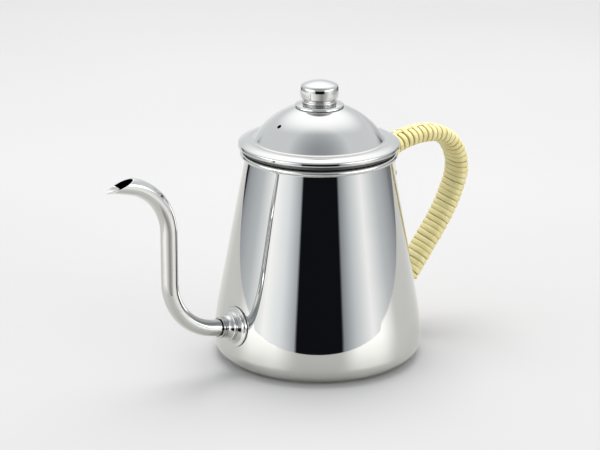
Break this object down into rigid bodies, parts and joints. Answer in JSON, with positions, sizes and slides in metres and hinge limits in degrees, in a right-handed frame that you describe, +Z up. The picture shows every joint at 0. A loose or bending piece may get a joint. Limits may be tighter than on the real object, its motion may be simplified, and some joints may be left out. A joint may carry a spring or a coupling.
{
  "type": "gooseneck kettle",
  "caption": "Tapered polished steel drip kettle with a slender bent spout, a domed lift-off lid with a turned knob, and an ear-shaped handle bound in cane.",
  "frame": {"origin": "middle of the flat base, on the surface the kettle stands on", "axes": "+Z up; the spout points along -X and the handle stands on the +X side; +Y completes a right-handed frame"},
  "size_m": [0.2676, 0.13, 0.1749],
  "materials": {
    "polished_steel": "mirror-polished stainless steel",
    "plain_steel": "satin stainless steel, unpolished inner pieces",
    "silicone_rubber": "matt black silicone",
    "cane": "pale glossy cane skin"
  },
  "bodies": {
    "kettle": {"body_wall": "polished_steel", "bottom_pan": "polished_steel", "spout_tube": "polished_steel", "spout_collar": "polished_steel", "spout_flange": "polished_steel", "spout_gasket": "silicone_rubber", "spout_lock_washer": "plain_steel", "spout_lock_nut": "plain_steel", "handle_core": "polished_steel", "handle_saddle": "polished_steel", "handle_foot_plate": "polished_steel", "cane_wrap_upper": "cane", "cane_wrap_lower": "cane", "cane_runner": "cane"},
    "lid": {"lid_dome": "polished_steel", "lid_skirt": "plain_steel", "knob": "polished_steel", "knob_seat": "polished_steel", "knob_washer": "plain_steel", "knob_screw": "plain_steel"}
  },
  "joints": [
    {"name": "lid_lift", "type": "slide", "parent": "kettle", "child": "lid", "axis": [0, 0, 1], "range_m": [0, 0.08]}
  ]
}
